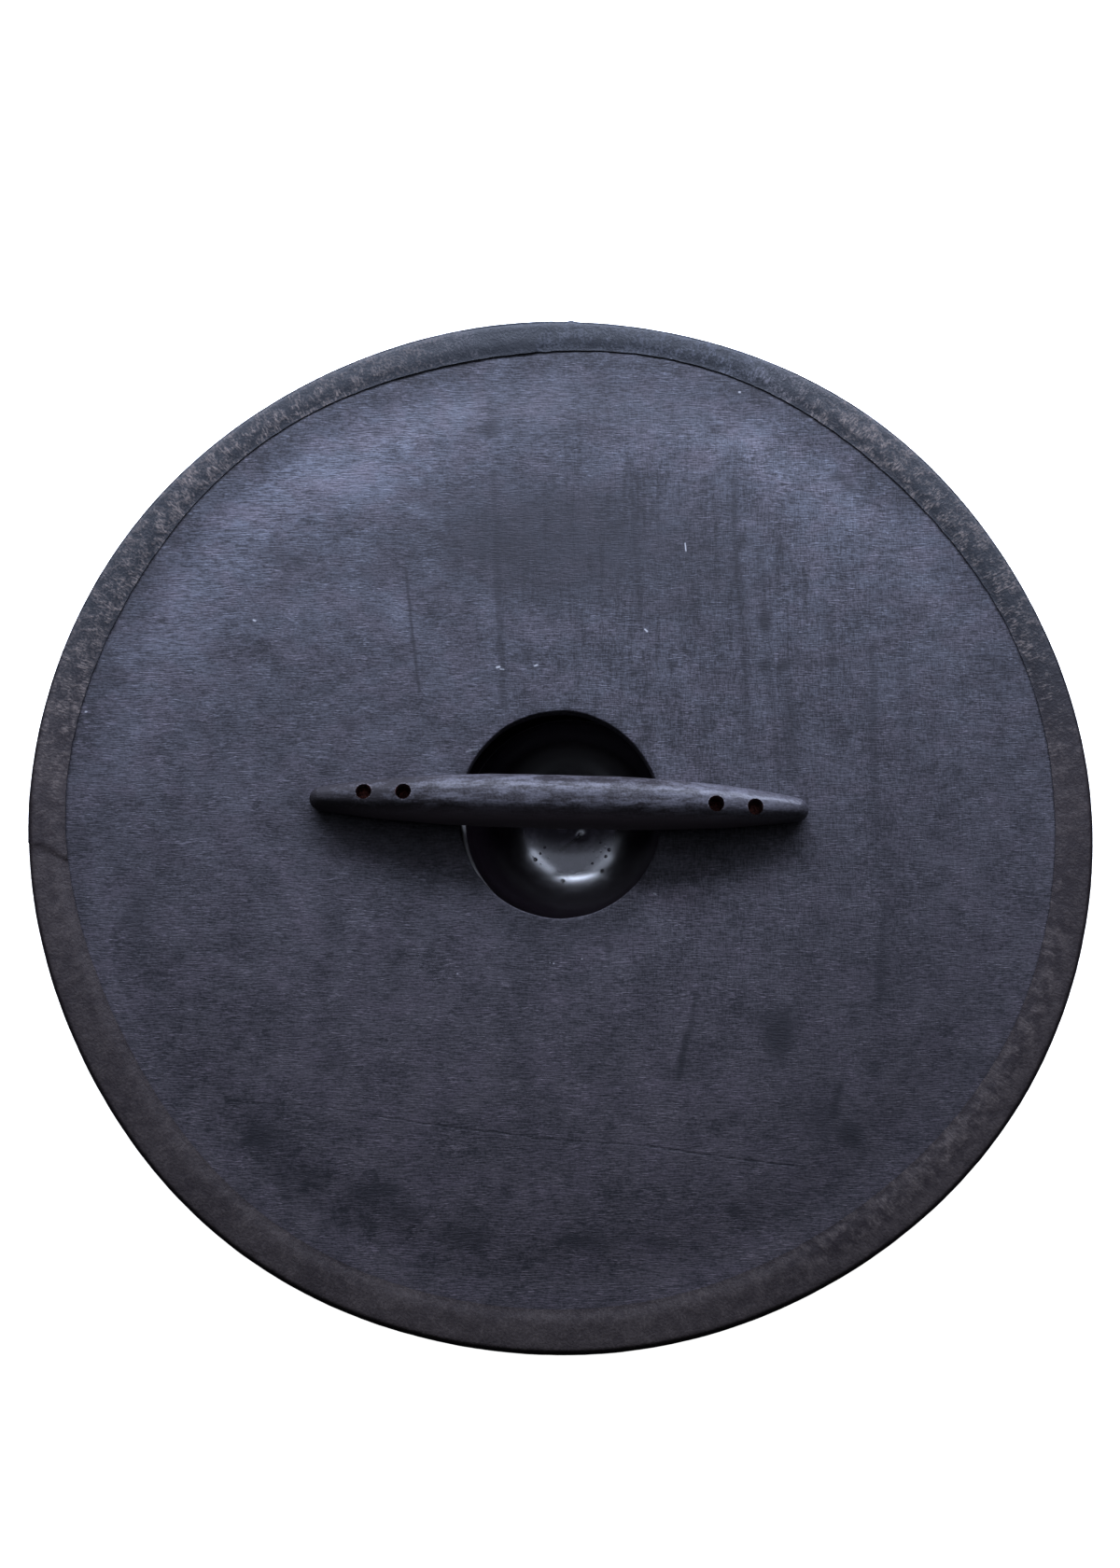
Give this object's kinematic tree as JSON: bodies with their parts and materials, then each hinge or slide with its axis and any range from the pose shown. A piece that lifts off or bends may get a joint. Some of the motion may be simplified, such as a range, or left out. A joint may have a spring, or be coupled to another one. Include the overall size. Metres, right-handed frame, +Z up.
{
  "type": "viking shield",
  "caption": "Round black-painted wooden shield with a leather-bound edge, a hollow domed iron boss and a spindle wooden grip across its hand hole.",
  "frame": {"origin": "on the ground, at the bottom of the flat spot of the boss's level, under the middle of the board", "axes": "+Z up, out of the grip side; +X along the grip, to the right as the grip side is seen; +Y across the grip, to the top"},
  "size_m": [0.6092, 0.6084, 0.0973],
  "materials": {
    "painted_board": "thin matt blue-black paint over open wood grain, smudged and lightly scuffed",
    "edge_leather": "black leather strip, dull, worn to a brown-grey in short streaks",
    "boss_paint": "thick gloss black paint with grit and drips in it",
    "grip_wood": "black-painted wood, rubbed to a soft sheen along its ridge",
    "rusty_screw": "rust-brown, dull",
    "black_nail": "black paint over forged iron"
  },
  "bodies": {
    "root": {"board": "painted_board", "edge_strip": "edge_leather", "boss": "boss_paint", "grip": "grip_wood", "grip_screw_1": "rusty_screw", "grip_screw_2": "rusty_screw", "grip_screw_3": "rusty_screw", "grip_screw_4": "rusty_screw", "boss_nail_1": "black_nail", "boss_nail_2": "black_nail", "boss_nail_3": "black_nail", "boss_nail_4": "black_nail", "boss_nail_5": "black_nail", "boss_nail_6": "black_nail"}
  },
  "joints": []
}
